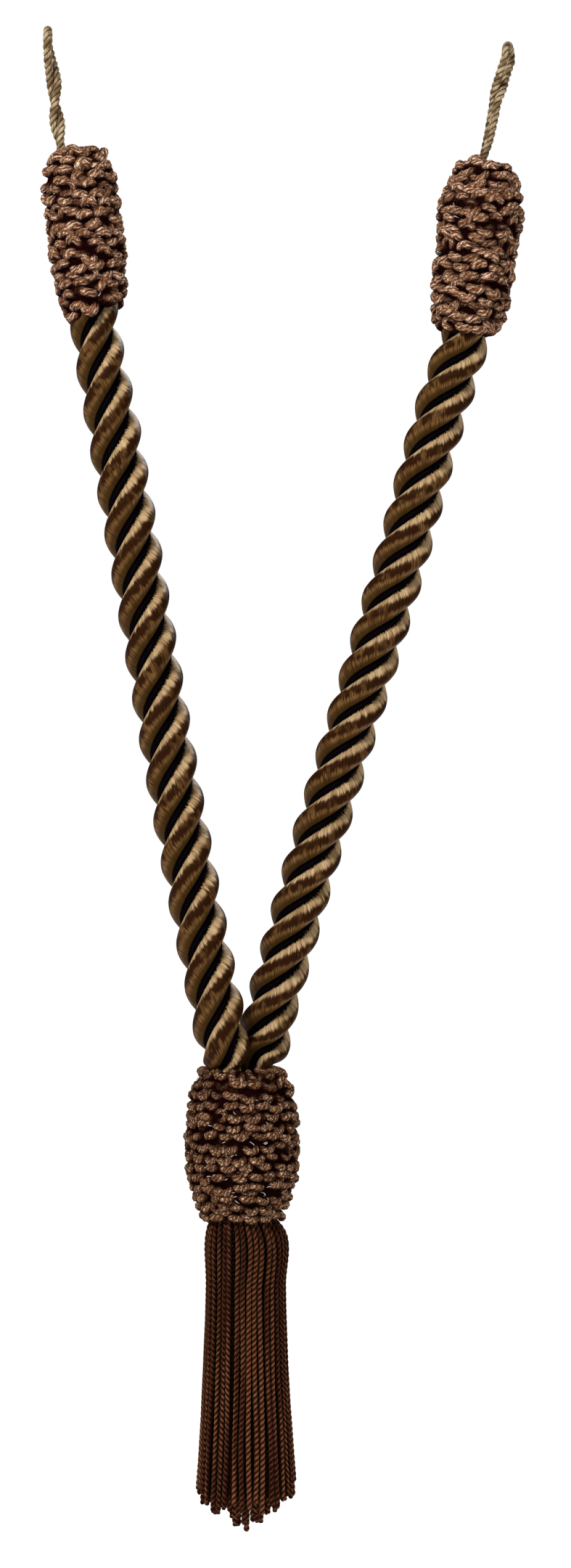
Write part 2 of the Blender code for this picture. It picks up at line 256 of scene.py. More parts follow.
def connect(wire, socket):
    wire.tree.links.new(wire.socket, socket)


def mixed(factor, first, second):
    """Two colours mixed; each is a wire or three numbers."""
    first, second = ((*c, 1.0) if isinstance(c, tuple) else c for c in (first, second))
    inputs = {0: factor, 6: first, 7: second}
    return factor.node("ShaderNodeMix", {"data_type": "RGBA"}, inputs, output=2)


def new_material(name, roughness, **constants):
    """A material, its principled shader, and a wire to start its sums from."""
    material = bpy.data.materials.new(name)
    material.use_nodes = True
    shader = material.node_tree.nodes["Principled BSDF"]
    shader.inputs["Roughness"].default_value = roughness
    for socket, value in constants.items():
        shader.inputs[socket.replace("_", " ")].default_value = value
    return material, shader, Wire(material.node_tree)


def object_place(start):
    """Where a point lies on the finished object, in metres."""
    return start.node("ShaderNodeTexCoord", output="Object")


def noise(place, size, detail=0.0):
    """Soft noise from 0 to 1 whose lumps are about size metres."""
    inputs = {"Vector": place, "Scale": 1 / size, "Detail": detail}
    return place.node("ShaderNodeTexNoise", None, inputs)


def coated(shader, colour, height, distance):
    """Colours the surface and raises it by height, a wire from 0 to 1, times distance in metres."""
    connect(colour, shader.inputs["Base Color"])
    bump = height.node("ShaderNodeBump", None, {"Distance": distance, "Height": height})
    connect(bump, shader.inputs["Normal"])


print("shader helpers ready")

# %% [markdown]
# ## Floor and sky
#
# A pale floor lies well below the tieback and runs far past it, so no edge shows.  The camera sees
# the sky as white as the floor, though its light is weak: the Light Path node tells the two apart.

# %% Floor and sky
FLOOR_HEIGHT = -1.25
FLOOR_WIDE = 80.0
FLOOR_GLOW = 0.93
PAPER = ((0.86, 0.86, 0.85), (0.9, 0.9, 0.89))
PAPER_GRAIN = 1 / 30
WHITE = (1.0, 1.0, 1.0, 1.0)
SKY_SEEN = 1.0
SKY_LIGHT = 0.12


def flat_floor():
    bm = bmesh.new()
    bmesh.ops.create_grid(bm, x_segments=1, y_segments=1, size=FLOOR_WIDE / 2)
    bmesh.ops.translate(bm, verts=bm.verts[:], vec=(0, 0, FLOOR_HEIGHT))
    mesh = bpy.data.meshes.new("floor")
    bm.to_mesh(mesh)
    bm.free()
    return mesh


def pale_paper():
    material, shader, start = new_material(
        "pale_paper", 0.9, Emission_Color=WHITE, Emission_Strength=FLOOR_GLOW
    )
    grain = noise(object_place(start), PAPER_GRAIN, 2.0)
    connect(mixed(grain, *PAPER), shader.inputs["Base Color"])
    return material


floor = bpy.data.objects.new("floor", flat_floor())
floor.data.materials.append(pale_paper())
bpy.context.scene.collection.objects.link(floor)
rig.stage(floor)

world = bpy.data.worlds.new("sky")
world.use_nodes = True
bpy.context.scene.world = world
sky = Wire(world.node_tree)
seen = sky.node("ShaderNodeLightPath")
weak = sky.node("ShaderNodeBackground", None, {"Color": WHITE, "Strength": SKY_LIGHT})
bright = sky.node("ShaderNodeBackground", None, {"Color": WHITE, "Strength": SKY_SEEN})
both = sky.node("ShaderNodeMixShader", None, {0: seen, 1: weak, 2: bright})
connect(both, world.node_tree.nodes["World Output"].inputs["Surface"])
print("floor", FLOOR_HEIGHT, "m,", FLOOR_WIDE, "m wide")

# %% [markdown]
# ## Lamps
#
# A large soft lamp on the left gives the satin its shape, a weaker one on the right fills the
# shadows, and a third lights the back.

# %% Lamps
MIDDLE = Vector((0.11, 0.0, -0.38))
# Where each lamp stands, its width in metres and its power in watts.
LAMPS = {
    "key_lamp": ((-0.7, -1.3, 1.0), 0.5, 55.0),
    "fill_lamp": ((1.3, -1.3, 0.1), 0.9, 8.0),
    "back_lamp": ((0.9, 1.6, 0.9), 0.6, 45.0),
}


def soft_lamp(name, place, size, watts):
    """A square lamp that faces the middle of the tieback."""
    lamp = bpy.data.lights.new(name, "AREA")
    lamp.size = size
    lamp.energy = watts
    holder = bpy.data.objects.new(name, lamp)
    holder.location = place
    holder.rotation_euler = (MIDDLE - Vector(place)).to_track_quat("-Z", "Y").to_euler()
    bpy.context.scene.collection.objects.link(holder)


for name, settings in LAMPS.items():
    soft_lamp(name, *settings)
bpy.context.scene.view_settings.view_transform = "Standard"
print(len(LAMPS), "soft lamps")

# %% [markdown]
# ## Routes
#
# Every cord here is an outline swept along a route, whose rows hold a place and then what changes
# along the cord, such as its share of the full thickness.  `smooth_route` reads them along one
# smooth curve, and `laid_line` adds the tilt that lays the plies round each other.

# %% Routes
FINE_SAMPLES = 2000


def smooth_route(rows, spacing):
    """The columns of rows, read along one smooth curve through them at even steps."""
    rows = np.array(rows, float)
    spans = np.linalg.norm(np.diff(rows[:, :3], axis=0), axis=1)
    slopes = np.diff(rows, axis=0) / spans[:, None]
    before, after = spans[:-1, None], spans[1:, None]
    inner = (slopes[:-1] * after + slopes[1:] * before) / (before + after)
    tangents = np.vstack([slopes[:1], inner, slopes[-1:]])
    knots = np.concatenate([[0.0], np.cumsum(spans)])
    at = np.linspace(0.0, knots[-1], FINE_SAMPLES)
    leg = np.clip(np.searchsorted(knots, at, side="right") - 1, 0, len(spans) - 1)
    span = spans[leg][:, None]
    t = (at - knots[leg])[:, None] / span
    fine = (2 * t**3 - 3 * t**2 + 1) * rows[leg]
    fine += (3 * t**2 - 2 * t**3) * rows[leg + 1]
    fine += (t**3 - 2 * t**2 + t) * span * tangents[leg]
    fine += (t**3 - t**2) * span * tangents[leg + 1]
    walked = walked_along(fine[:, :3])
    steps = max(2, round(walked[-1] / spacing))
    even = np.linspace(0.0, walked[-1], steps + 1)
    return np.stack([np.interp(even, walked, column) for column in fine.T], axis=1)


def walked_along(places):
    """How far each place is from the first one, along the line through them."""
    steps = np.linalg.norm(np.diff(np.array(places), axis=0), axis=1)
    return np.concatenate([[0.0], np.cumsum(steps)])


def read_table(table, at):
    """The second column of a table, read between its rows at a value of the first."""
    return np.interp(at, *np.transpose(table))


def laid_line(route, pitch, phase):
    """A route as points, swells and the tilts that lay an outline round it."""
    places = [tuple(row) for row in route[:, :3] * MM]
    tilts = math.radians(phase) + math.tau * walked_along(places) / pitch
    return places, list(route[:, 3]), list(tilts)


print("routes are read from", FINE_SAMPLES, "fine samples")

# %% [markdown]
# ## Sweeps
#
# Blender's curve bevel sweeps an outline with a tilt and a swell at every point.  The mesh is
# merged along its seams, and its UV map gets metres along the route and turns round the outline,
# which the yarns follow.

# %% Sweeps
SEAM = 0.0005 * MM


def new_curve(name, lines, dimensions, cyclic=False):
    """Poly splines; a line is a list of points, or those with lists of swells and tilts."""
    curve = bpy.data.curves.new(name, "CURVE")
    curve.dimensions = dimensions
    for line in lines:
        points, swells, tilts = line if isinstance(line, tuple) else (line, None, None)
        spline = curve.splines.new("POLY")
        spline.points.add(len(points) - 1)
        flat = [value for point in points for value in (*point, 1.0)]
        spline.points.foreach_set("co", flat)
        if swells is not None:
            spline.points.foreach_set("radius", swells)
            spline.points.foreach_set("tilt", tilts)
        spline.use_cyclic_u = cyclic
    return curve


def bevelled(name, lines, outlines):
    """The mesh that Blender's curve bevel makes of the outlines along the lines."""
    outline = new_curve(name + "_outline", outlines, "2D", cyclic=True)
    outline.fill_mode = "NONE"
    shape = bpy.data.objects.new(name + "_outline", outline)
    curve = new_curve(name, lines, "3D")
    curve.twist_mode = "MINIMUM"
    curve.bevel_mode = "OBJECT"
    curve.bevel_object = shape
    curve.use_fill_caps = True
    source = bpy.data.objects.new(name, curve)
    for helper in (shape, source):
        bpy.context.scene.collection.objects.link(helper)
    graph = bpy.context.evaluated_depsgraph_get()
    mesh = bpy.data.meshes.new_from_object(source.evaluated_get(graph))
    for helper in (shape, source):
        bpy.data.objects.remove(helper)
    mesh.name = name
    return mesh


def swept(name, lines, outlines):
    """One mesh of closed tubes: every outline swept along every line."""
    mesh = bevelled(name, lines, outlines)
    length = np.mean([walked_along(line[0])[-1] for line in lines])
    along = np.empty(len(mesh.loops) * 2, np.float32)
    mesh.uv_layers[0].data.foreach_get("uv", along)
    along[0::2] *= length
    mesh.uv_layers[0].data.foreach_set("uv", along)
    bm = bmesh.new()
    bm.from_mesh(mesh)
    bmesh.ops.remove_doubles(bm, verts=bm.verts[:], dist=SEAM)
    bmesh.ops.recalc_face_normals(bm, faces=bm.faces[:])
    bm.to_mesh(mesh)
    bm.free()
    mesh.shade_smooth()
    return mesh


def ring_outline(out, direction, radius, sides):
    """A circle beside the route: its first point, and so its UV seam, is the innermost."""
    turned = math.radians(direction)
    points = []
    for side in range(sides):
        angle = turned + math.pi - math.tau * side / sides
        x = out * math.cos(turned) + radius * math.cos(angle)
        y = out * math.sin(turned) + radius * math.sin(angle)
        points.append((x, y, 0.0))
    return points


def add_piece(mesh, material, slot, replaced=()):
    """A finished piece: it rides on the one body and stands for the solids it replaces."""
    piece = bpy.data.objects.new(mesh.name, mesh)
    mesh.materials.clear()
    mesh.materials.append(material)
    bpy.context.scene.collection.objects.link(piece)
    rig.ride(piece, "root")
    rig.slot(piece, slot)
    if replaced:
        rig.replaces(piece, *replaced)
    triangles = sum(len(face.vertices) - 2 for face in mesh.polygons)
    print(f"{piece.name}: {triangles} triangles")
    return piece


print("seams closer than", SEAM / MM, "mm are merged")

# %% [markdown]
# ## Rope arms
#
# Each arm is laid rope, about 27 mm thick: three plies of glossy viscose yarn turn to the right
# round each other, once in about 60 mm.  The rows are those of the solids, and the rope narrows
# inside its sleeve and the head.

# %% Arm routes
ROPE_PITCH = {"left": 62.0 * MM, "right": 60.0 * MM}
ROPE_PHASE = {"left": -19.5, "right": 75.0}  # degrees that the plies start at
ROPE_STEPS = 36  # sections in a turn
ROPE_TOP_SWELL = 0.92  # share of its full thickness inside the sleeve
ROPE_IN_SLEEVE = 24.0 * MM

# Millimetres from the left-hand hook: across, depth, height, and the share of full thickness.
ARM_ROWS = {
    "left": (
        (33.1, 0.0, -199.1, 1.0), (42.4, 0.0, -253.1, 1.0), (51.5, 0.0, -307.1, 1.0),
        (60.6, 0.0, -361.1, 1.0), (70.3, -1.0, -415.1, 1.0), (80.4, -4.8, -467.0, 1.0),
        (84.8, -7.4, -488.0, 1.0), (87.0, -8.1, -501.5, 0.98), (88.1, -6.8, -507.2, 0.88),
        (88.6, -5.7, -510.8, 0.70), (88.6, -5.7, -516.0, 0.70), (88.6, -5.7, -526.2, 0.70),
    ),
    "right": (
        (199.2, 0.0, -174.0, 1.0), (191.6, 0.0, -199.1, 1.0), (177.3, 0.0, -253.1, 1.0),
        (161.6, 0.0, -307.1, 1.0), (145.4, 0.0, -361.1, 1.0), (129.6, 1.0, -415.1, 1.0),
        (115.2, 4.8, -467.0, 1.0), (109.6, 7.4, -488.0, 1.0), (107.0, 8.1, -501.5, 0.98),
        (105.4, 6.8, -507.2, 0.88), (104.4, 5.7, -510.8, 0.70), (104.4, 5.7, -516.0, 0.70),
        (104.4, 5.7, -525.8, 0.70),
    ),
}
# The middle of each sleeve's lower face, its lean, and how far off its axis the loop goes in.
SLEEVES = {
    "left": {"base": (23.0, 0.0, -141.5), "lean": -6.0, "loop": -7.2},
    "right": {"base": (207.4, 0.0, -148.5), "lean": 7.0, "loop": -3.0},
}


def in_sleeve(side, across, up):
    """A point in a sleeve, across from its axis and up from its lower face, in millimetres."""
    lean = Matrix.Rotation(math.radians(SLEEVES[side]["lean"]), 3, "Y")
    return Vector(SLEEVES[side]["base"]) + lean @ Vector((across, 0.0, up))


def arm_route(side):
    hidden = [
        (*in_sleeve(side, 0.0, share * ROPE_IN_SLEEVE / MM), ROPE_TOP_SWELL)
        for share in (1.0, 0.5, 0.0)
    ]
    return smooth_route(hidden + list(ARM_ROWS[side]), ROPE_PITCH[side] / MM / ROPE_STEPS)


arm_lines = {
    side: laid_line(arm_route(side), ROPE_PITCH[side], ROPE_PHASE[side]) for side in ARM_ROWS
}
for side, line in arm_lines.items():
    print(side, "arm", round(walked_along(line[0])[-1], 4), "m")

# %% [markdown]
# ### Satin yarn
#
# The yarns inside a ply turn the other way, so on the outside they lie nearly along the rope.  Turning the UV map's
# angle steadily with the distance follows them, and noise stretched along them makes the streaks.  A ply has a tan
# painted highlight on its upper side and brown to olive painted shade below, a band of painted shade in dark blotches
# along its middle, and a ragged black painted shadow at the groove.

# %% Satin material
ROPE_PLY_RADIUS = 6.3 * MM
YARN_TURNS = 1 / (23.2 * MM)  # turns round a ply for each metre along the rope
YARN_WIDE = 0.42 * MM
YARN_STRETCH = 0.06  # how much slower the streaks change along a yarn
HANK_WIDE = 2.2 * MM
HANK_STRETCH = 0.22
CLOUD_WIDE = 7.0 * MM
# Where a ply's painted highlight, painted shade and painted shadow begin, in turns round it from its crest, upwards
# above zero.
LIT_TAN_SIDE = (0.170, 0.075)
SHADE_BAND_MIDDLE = 0.022
SHADE_BAND_EDGE = (0.155, 0.06)
OLIVE_SHADE_SIDE = (-0.12, -0.21)
GROOVE_EDGE = 0.262
GROOVE_SOFT = 0.012
WANDER = 0.14
# The darkest and the lightest floss: of the tan painted highlight, then of the brown painted shade.
LIT_TAN_FLOSS = ((0.165, 0.093, 0.036), (0.41, 0.285, 0.155))
SHADED_BROWN_FLOSS = ((0.034, 0.0120, 0.0026), (0.150, 0.077, 0.025))
# Painted shade along the middle of a ply.
SHADE_BAND_BROWN = (0.0145, 0.0036, 0.0008)
# Painted shade on a ply's lower edge.
OLIVE_SHADE = (0.031, 0.0140, 0.0023)
# Painted shadow where a ply turns into the groove.
PLY_GROOVE_SHADOW = (0.001, 0.0008, 0.001)
WARM_GLOSS = (1.0, 0.75, 0.45, 1.0)


def around_and_along(start):
    """The UV map as two wires: metres along the cord, and turns round it, 0.5 outermost."""
    uv = {"Vector": start.node("ShaderNodeUVMap")}
    along = start.node("ShaderNodeSeparateXYZ", None, uv, output="X")
    around = start.node("ShaderNodeSeparateXYZ", None, uv, output="Y")
    return along, around


def yarn_place(along, around, turns, radius, stretch=YARN_STRETCH):
    """A point on a cylinder that turns with the yarns, in metres, so noise has no seam."""
    angle = (around + along * turns) * math.tau
    inputs = {
        "X": angle.math("COSINE", angle) * radius,
        "Y": angle.math("SINE", angle) * radius,
        "Z": along * stretch,
    }
    return angle.node("ShaderNodeCombineXYZ", None, inputs)


def satin():
    material, shader, start = new_material(
        "satin_yarn", 0.5, Specular_IOR_Level=0.035, Specular_Tint=WARM_GLOSS
    )
    along, around = around_and_along(start)
    streak = noise(yarn_place(along, around, YARN_TURNS, ROPE_PLY_RADIUS), YARN_WIDE, 2.0)
    loose = yarn_place(along, around, YARN_TURNS, ROPE_PLY_RADIUS, HANK_STRETCH)
    hank = noise(loose, HANK_WIDE, 1.0)
    cloud = noise(object_place(start), CLOUD_WIDE, 1.0)
    out = around - 0.5
    wander = (hank - 0.5) * WANDER
    floss = (streak * 0.6 + hank * 0.4).between(0.34, 0.66)
    # A tan painted highlight on the upper side of a ply, brown painted shade below.
    shaded_lower = (out + wander).between(*LIT_TAN_SIDE)
    yarn = mixed(shaded_lower, mixed(floss, *LIT_TAN_FLOSS), mixed(floss, *SHADED_BROWN_FLOSS))
    # A band of painted shade along the ply's middle, broken into random blotches.
    off_shade_band = abs(out - SHADE_BAND_MIDDLE + wander) + (streak - 0.5) * 0.16
    shade_blotch = (cloud * 0.6 + hank * 0.4).between(0.36, 0.50)
    shade_band = off_shade_band.between(*SHADE_BAND_EDGE) * (shade_blotch * 0.85 + 0.13)
    shade_banded = mixed(shade_band, yarn, SHADE_BAND_BROWN)
    # Painted shade turns the lower edge of a ply dark olive.
    olive_shaded = mixed(out.between(*OLIVE_SHADE_SIDE) * 0.85, shade_banded, OLIVE_SHADE)
    # Painted shadow: black where the ply turns into the groove, with a ragged edge.
    ragged = abs(out) + (streak - 0.5) * (0.10 + out * 0.28)
    groove_shade = ragged.between(GROOVE_EDGE - GROOVE_SOFT, GROOVE_EDGE + GROOVE_SOFT)
    connect(0.48 + groove_shade * 0.5, shader.inputs["Roughness"])
    coated(shader, mixed(groove_shade, olive_shaded, PLY_GROOVE_SHADOW), streak * 0.5 + hank * 0.5, 0.6 * MM)
    return material


SATIN = satin()
print("a yarn turns once in", round(1 / YARN_TURNS / MM, 1), "mm")

# %% [markdown]
# ### Groove cord
#
# A thin matt black cord fills each groove as painted shadow: it stands in for the deep shade there and stays darker
# than any rendered shadow.

# %% Groove material
GROOVE_CORD_RADIUS = 1.6 * MM
GROOVE_CORD_TURNS = 1 / (9.0 * MM)
GROOVE_SHADOW_THREAD = ((0.0008, 0.0006, 0.001), (0.003, 0.002, 0.003))


def groove_shadow_black():
    material, shader, start = new_material("groove_shadow_black", 1.0, Specular_IOR_Level=0.0)
    along, around = around_and_along(start)
    place = yarn_place(along, around, GROOVE_CORD_TURNS, GROOVE_CORD_RADIUS)
    fibre = noise(place, 0.4 * MM)
    coated(shader, mixed(fibre, *GROOVE_SHADOW_THREAD), fibre, 0.2 * MM)
    return material


GROOVE_SHADOW_BLACK = groove_shadow_black()
print("groove cord is", 2 * GROOVE_CORD_RADIUS / MM, "mm thick")

# %% [markdown]
# ### Sweep the arms
#
# The plies are round outlines set off from the route.  Sweeping all three at once keeps them in
# step.

# %% Sweep the arms
PLIES = 3
ROPE_DIAMETER = 27.2 * MM
ROPE_PLY_OUT = 7.3 * MM
ROPE_PLY_SIDES = 26
GROOVE_CORD_OUT = 7.7 * MM
GROOVE_CORD_SIDES = 8

ply_outlines = [
    ring_outline(ROPE_PLY_OUT, 60 + 120 * ply, ROPE_PLY_RADIUS, ROPE_PLY_SIDES)
    for ply in range(PLIES)
]
groove_outlines = [
    ring_outline(GROOVE_CORD_OUT, 120 * ply, GROOVE_CORD_RADIUS, GROOVE_CORD_SIDES)
    for ply in range(PLIES)
]
for side, line in arm_lines.items():
    mesh = swept("arm_" + side, [line], ply_outlines)
    plies = add_piece(mesh, SATIN, "gold_rope", ("rope_" + side,))
    # Black cords of painted shadow fill the grooves between the plies.
    mesh = swept("arm_groove_shadow_" + side, [line], groove_outlines)
    groove_shade = add_piece(mesh, GROOVE_SHADOW_BLACK, "gold_rope")
    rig.cord(
        plies,
        exit=in_sleeve(side, 0.0, 0.0) * MM,
        length=walked_along(line[0])[-1],
        diameter=ROPE_DIAMETER,
        far_end="object",
        stiffness="medium",
        lay="hanging",
        path=line[0][::3] + line[0][-1:],
        with_pieces=[groove_shade],
    )

# %% [markdown]
# ## Hanging loops
#
# The loops are thin cord of a duller thread.  Each is one length, doubled: both ends go into the
# sleeve and the two legs twist round each other up to the eye.

# %% Loop routes
CORD_PITCH = 10.0 * MM
CORD_STEPS = 16
LEGS_APART = 3.7 * MM
EYE_RADIUS = 7.0 * MM
EYE_STEPS = 16
EYE_DROP = 16.0 * MM  # how far below the eye the legs have closed
SLEEVE_TALL = {"left": 85.0, "right": 85.5}
LOOP_IN_SLEEVE = 3.1
LOOP_ROUTE_STEP = 1.25

# The middle between the legs: across, depth and height in millimetres, and their turn in degrees.
LOOP_ROWS = {
    "left": (
        (0.0, 0.0, -5.0, 90.0), (1.2, 0.0, -13.0, 76.0), (2.0, 0.0, -17.3, 55.0),
        (2.8, 0.0, -22.0, 10.0), (3.6, 0.0, -34.5, -90.0), (4.7, 0.0, -44.3, -180.0),
        (5.9, 0.0, -52.5, -260.0),
    ),
    "right": (
        (228.4, 0.0, -12.7, 76.0), (226.4, 0.0, -18.5, 70.0), (225.2, 0.0, -22.5, 58.0),
        (224.0, 0.0, -26.5, 22.0), (222.6, 0.0, -31.5, -40.0), (220.6, 0.0, -42.0, -62.0),
        (218.4, 0.0, -53.0, -72.0),
    ),
}
LOOP_LAST_TURN = {"left": -285.0, "right": -110.0}


def eye_arch(centre, turn):
    """The half circle over the top of an eye, in metres, without its two ends."""
    outward = Vector((math.cos(turn), math.sin(turn), 0.0))
    upward = Vector((0.0, 0.0, 1.0))
    arch = []
    for step in range(1, EYE_STEPS):
        angle = math.pi * step / EYE_STEPS
        reach = outward * math.cos(angle) + upward * math.sin(angle)
        arch.append(tuple(centre + EYE_RADIUS * reach))
    return arch


def loop_places(side):
    """Up one leg of a loop, over its eye and down the other, in metres."""
    foot = in_sleeve(side, SLEEVES[side]["loop"], SLEEVE_TALL[side] - LOOP_IN_SLEEVE)
    rows = smooth_route([*LOOP_ROWS[side], (*foot, LOOP_LAST_TURN[side])], LOOP_ROUTE_STEP)
    top = rows[0, 2]
    legs = [[], []]
    for across, depth, height, turn in rows:
        closed = min(1.0, max(0.0, (top - height) * MM / EYE_DROP))
        blend = closed * closed * (3.0 - 2.0 * closed)
        apart = EYE_RADIUS + (LEGS_APART / 2.0 - EYE_RADIUS) * blend
        angle = math.radians(turn)
        for leg, sign in zip(legs, (1.0, -1.0)):
            x = across * MM + sign * apart * math.cos(angle)
            y = depth * MM + sign * apart * math.sin(angle)
            leg.append((x, y, height * MM))
    arch = eye_arch(Vector(rows[0, :3] * MM), math.radians(rows[0, 3]))
    return legs[0][::-1] + arch + legs[1]


def loop_line(side):
    rows = [(*(Vector(place) / MM), 1.0) for place in loop_places(side)]
    return laid_line(smooth_route(rows, CORD_PITCH / MM / CORD_STEPS), CORD_PITCH, 0.0)


loop_lines = {side: loop_line(side) for side in LOOP_ROWS}
for side, line in loop_lines.items():
    print(side, "loop", round(walked_along(line[0])[-1], 4), "m")

# %% [markdown]
# ### Dull cord thread
#
# Cotton has no gloss: short soft streaks along the yarns, painted shade in random patches and where the plies meet,
# and a bump to catch the light.

# %% Loop material and pieces
CORD_DIAMETER = 4.0 * MM
CORD_PLY_RADIUS = 1.27 * MM
CORD_PLY_OUT = 0.85 * MM
CORD_PLY_SIDES = 10
CORD_YARN_TURNS = 1 / (7.0 * MM)
THREAD = ((0.140, 0.096, 0.044), (0.43, 0.33, 0.215))
THREAD_SHADE_PATCH = (0.072, 0.040, 0.015)
THREAD_SHADE = (0.036, 0.0165, 0.0048)
THREAD_INNER = (0.13, 0.28)  # turns from a ply's crest where its shade sets in


def dull_thread():
    material, shader, start = new_material("dull_thread", 0.8, Specular_IOR_Level=0.02)
    along, around = around_and_along(start)
    fibre = noise(yarn_place(along, around, CORD_YARN_TURNS, CORD_PLY_RADIUS), 0.32 * MM, 2.0)
    # Random patches of painted shade.
    shade_patch = noise(object_place(start), 4.5 * MM).between(0.32, 0.60) * 0.8
    inner = abs(around - 0.5).between(*THREAD_INNER)
    toned = mixed(shade_patch, mixed(fibre.between(0.3, 0.7), *THREAD), THREAD_SHADE_PATCH)
    coated(shader, mixed(inner, toned, THREAD_SHADE), fibre, 0.3 * MM)
    return material


DULL_THREAD = dull_thread()
cord_outlines = [
    ring_outline(CORD_PLY_OUT, 60 + 120 * ply, CORD_PLY_RADIUS, CORD_PLY_SIDES)
    for ply in range(PLIES)
]
for side, line in loop_lines.items():
    mesh = swept("hanging_loop_" + side, [line], cord_outlines)
    loop = add_piece(mesh, DULL_THREAD, "tan_cord", ("loop_" + side,))
    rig.cord(
        loop,
        exit=line[0][0],
        length=walked_along(line[0])[-1],
        diameter=CORD_DIAMETER,
        far_end="object",
        stiffness="limp",
        lay="hanging",
        path=line[0][::2] + line[0][-1:],
    )

# %% [markdown]
# ## Gimp hoops
#
# The sleeves and the head are covered in short hoops of gimp, a soft cord of several plies.
# A hoop starts in the core, rises to the outline, runs along the row and dives back in.  Each is
# its own short spline.  A droop below zero makes a smile, and above it an arch, and some hoops
# turn over into a curl round a dark eye.

# %% One hoop
HOOP_SIDES = 8
HOOP_STEP = 1.15  # millimetres between sections
# Stations along a hoop: share of its half width, depth of its middle under the crown's in
# millimetres, share of the droop, and share of the full thickness.
HOOP_FORM = (
    (-0.98, 4.8, -0.25, 0.80), (-1.00, 2.2, 0.05, 0.95), (-0.72, 0.5, 0.55, 1.00),
    (0.00, 0.0, 1.00, 1.04), (0.72, 0.5, 0.55, 1.00), (1.00, 2.2, 0.05, 0.95),
    (0.98, 4.8, -0.25, 0.80),
)
HOOP_WIDTHS = (0.82, 1.18)  # shares of the usual width
HOOP_SWELLS = (0.93, 1.08)
CURL_STATIONS = 9
CURL_OPEN = 0.07  # turns from the opening to each end
CURL_DIVE = 4.2  # millimetres that the two ends go in
CURL_FLAT = (0.75, 1.0)
CURL_SWELL = 0.82


def hoop_line(centre, across, outward, curve_radius, droop, size, draw):
    """One hoop whose crown is centred on a point of the outline; all in millimetres."""
    half = size["half_wide"] * draw.uniform(*HOOP_WIDTHS)
    tip = draw.uniform(-1.0, 1.0) * size["tip"]
    thick = draw.uniform(*HOOP_SWELLS)
    upward = outward.cross(across)
    rows = []
    for share, depth, hang, swell in HOOP_FORM:
        bend = share * half / curve_radius
        out = curve_radius - size["radius"] - depth
        place = centre - outward * curve_radius
        place = place + outward * out * math.cos(bend) + across * out * math.sin(bend)
        place = place + upward * (hang * droop + share * tip)
        rows.append((*place, swell * thick))
    route = smooth_route(rows, HOOP_STEP)
    route[:, 3] *= [1.0 + draw.uniform(-1, 1) * size["knob"] for _ in route]
    return laid_line(route, math.inf, draw.uniform(0, 360))


def curl_line(centre, across, outward, size, draw):
    """A hoop turned over into a ring round a dark eye; all in millimetres."""
    upward = outward.cross(across)
    opening = draw.uniform(0, math.tau)
    flat = draw.uniform(*CURL_FLAT)
    rows = []
    for step in range(CURL_STATIONS):
        share = step / (CURL_STATIONS - 1)
        angle = opening + math.tau * (CURL_OPEN + (1 - 2 * CURL_OPEN) * share)
        depth = size["radius"] + CURL_DIVE * abs(2 * share - 1) ** 6
        ring = across * math.cos(angle) + upward * math.sin(angle) * flat
        place = centre - outward * depth + ring * size["curl"]
        rows.append((*place, CURL_SWELL))
    return laid_line(smooth_route(rows, HOOP_STEP), math.inf, draw.uniform(0, 360))


print("a hoop has", len(HOOP_FORM), "stations and", HOOP_SIDES, "sides")

# %% [markdown]
# ### Rows of hoops
#
# A turned outline is a table of heights and radii.  The hoops stand round it in wavy rows, every
# second row half a step on.  Deeper odd ones fill the gaps.

# %% Rows of hoops
HEM_SAG = 1.5  # how far a hoop may hang under the lower face
ROW_ODD = 0.15  # share of a step that a hoop may be out of place
ROW_SUNK = (-0.35, 0.9)
ROW_WAVE = 0.7


def hem_height(slant, turn):
    """How high the lower edge is, where it slants up to the right by slant."""
    return slant * (1.0 + math.cos(turn)) / 2.0


def side_hoop(outline, turn, height, sunk, size, draw):
    """A hoop on the side of a turned outline, kept between its two faces."""
    thick = size["radius"]
    height = min(max(height, thick), outline[-1][0] - thick)
    droop = draw.gauss(size["droop"], size["droop_spread"])
    droop = min(max(droop, thick - height - HEM_SAG), outline[-1][0] - thick - height)
    radius = float(read_table(outline, height)) - sunk
    outward = Vector((math.cos(turn), math.sin(turn), 0.0))
    across = Vector((-math.sin(turn), math.cos(turn), 0.0))
    centre = outward * radius + Vector((0.0, 0.0, height))
    if draw.random() < size["curled"]:
        return curl_line(centre, across, outward, size, draw)
    return hoop_line(centre, across, outward, radius, droop, size, draw)


def row_hoops(outline, size, draw, slant=0.0):
    """Hoops in wavy rows up a turned outline, and deeper odd ones to fill the gaps."""
    tall = outline[-1][0]
    rows = size["rows"]
    for row in range(rows):
        level = (row + 0.5) * tall / rows
        around = math.tau * read_table(outline, level)
        count = round(around / size["spacing"])
        wave = draw.uniform(0, math.tau)
        for step in range(count):
            off_step = 0.5 * (row % 2) + draw.uniform(-ROW_ODD, ROW_ODD)
            turn = math.tau * (step + off_step) / count
            height = level + ROW_WAVE * math.sin(2 * turn + wave)
            height += draw.uniform(-1.0, 1.0) * size["ragged"]
            hoop = side_hoop(outline, turn, height, draw.uniform(*ROW_SUNK), size, draw)
            if height > hem_height(slant, turn):
                yield hoop
    for _ in range(size["odd"]):
        turn, height = draw.uniform(0, math.tau), draw.uniform(0, tall)
        sunk = draw.uniform(*size["filler_sunk"])
        filler = side_hoop(outline, turn, height, sunk, size, draw)
        if height > hem_height(slant, turn):
            yield filler


print("rows wave by", ROW_WAVE, "mm")

# %% [markdown]
# ### Knotted tops
#
# On the rounded top of a sleeve the hoops turn every way and leave room for the loop.

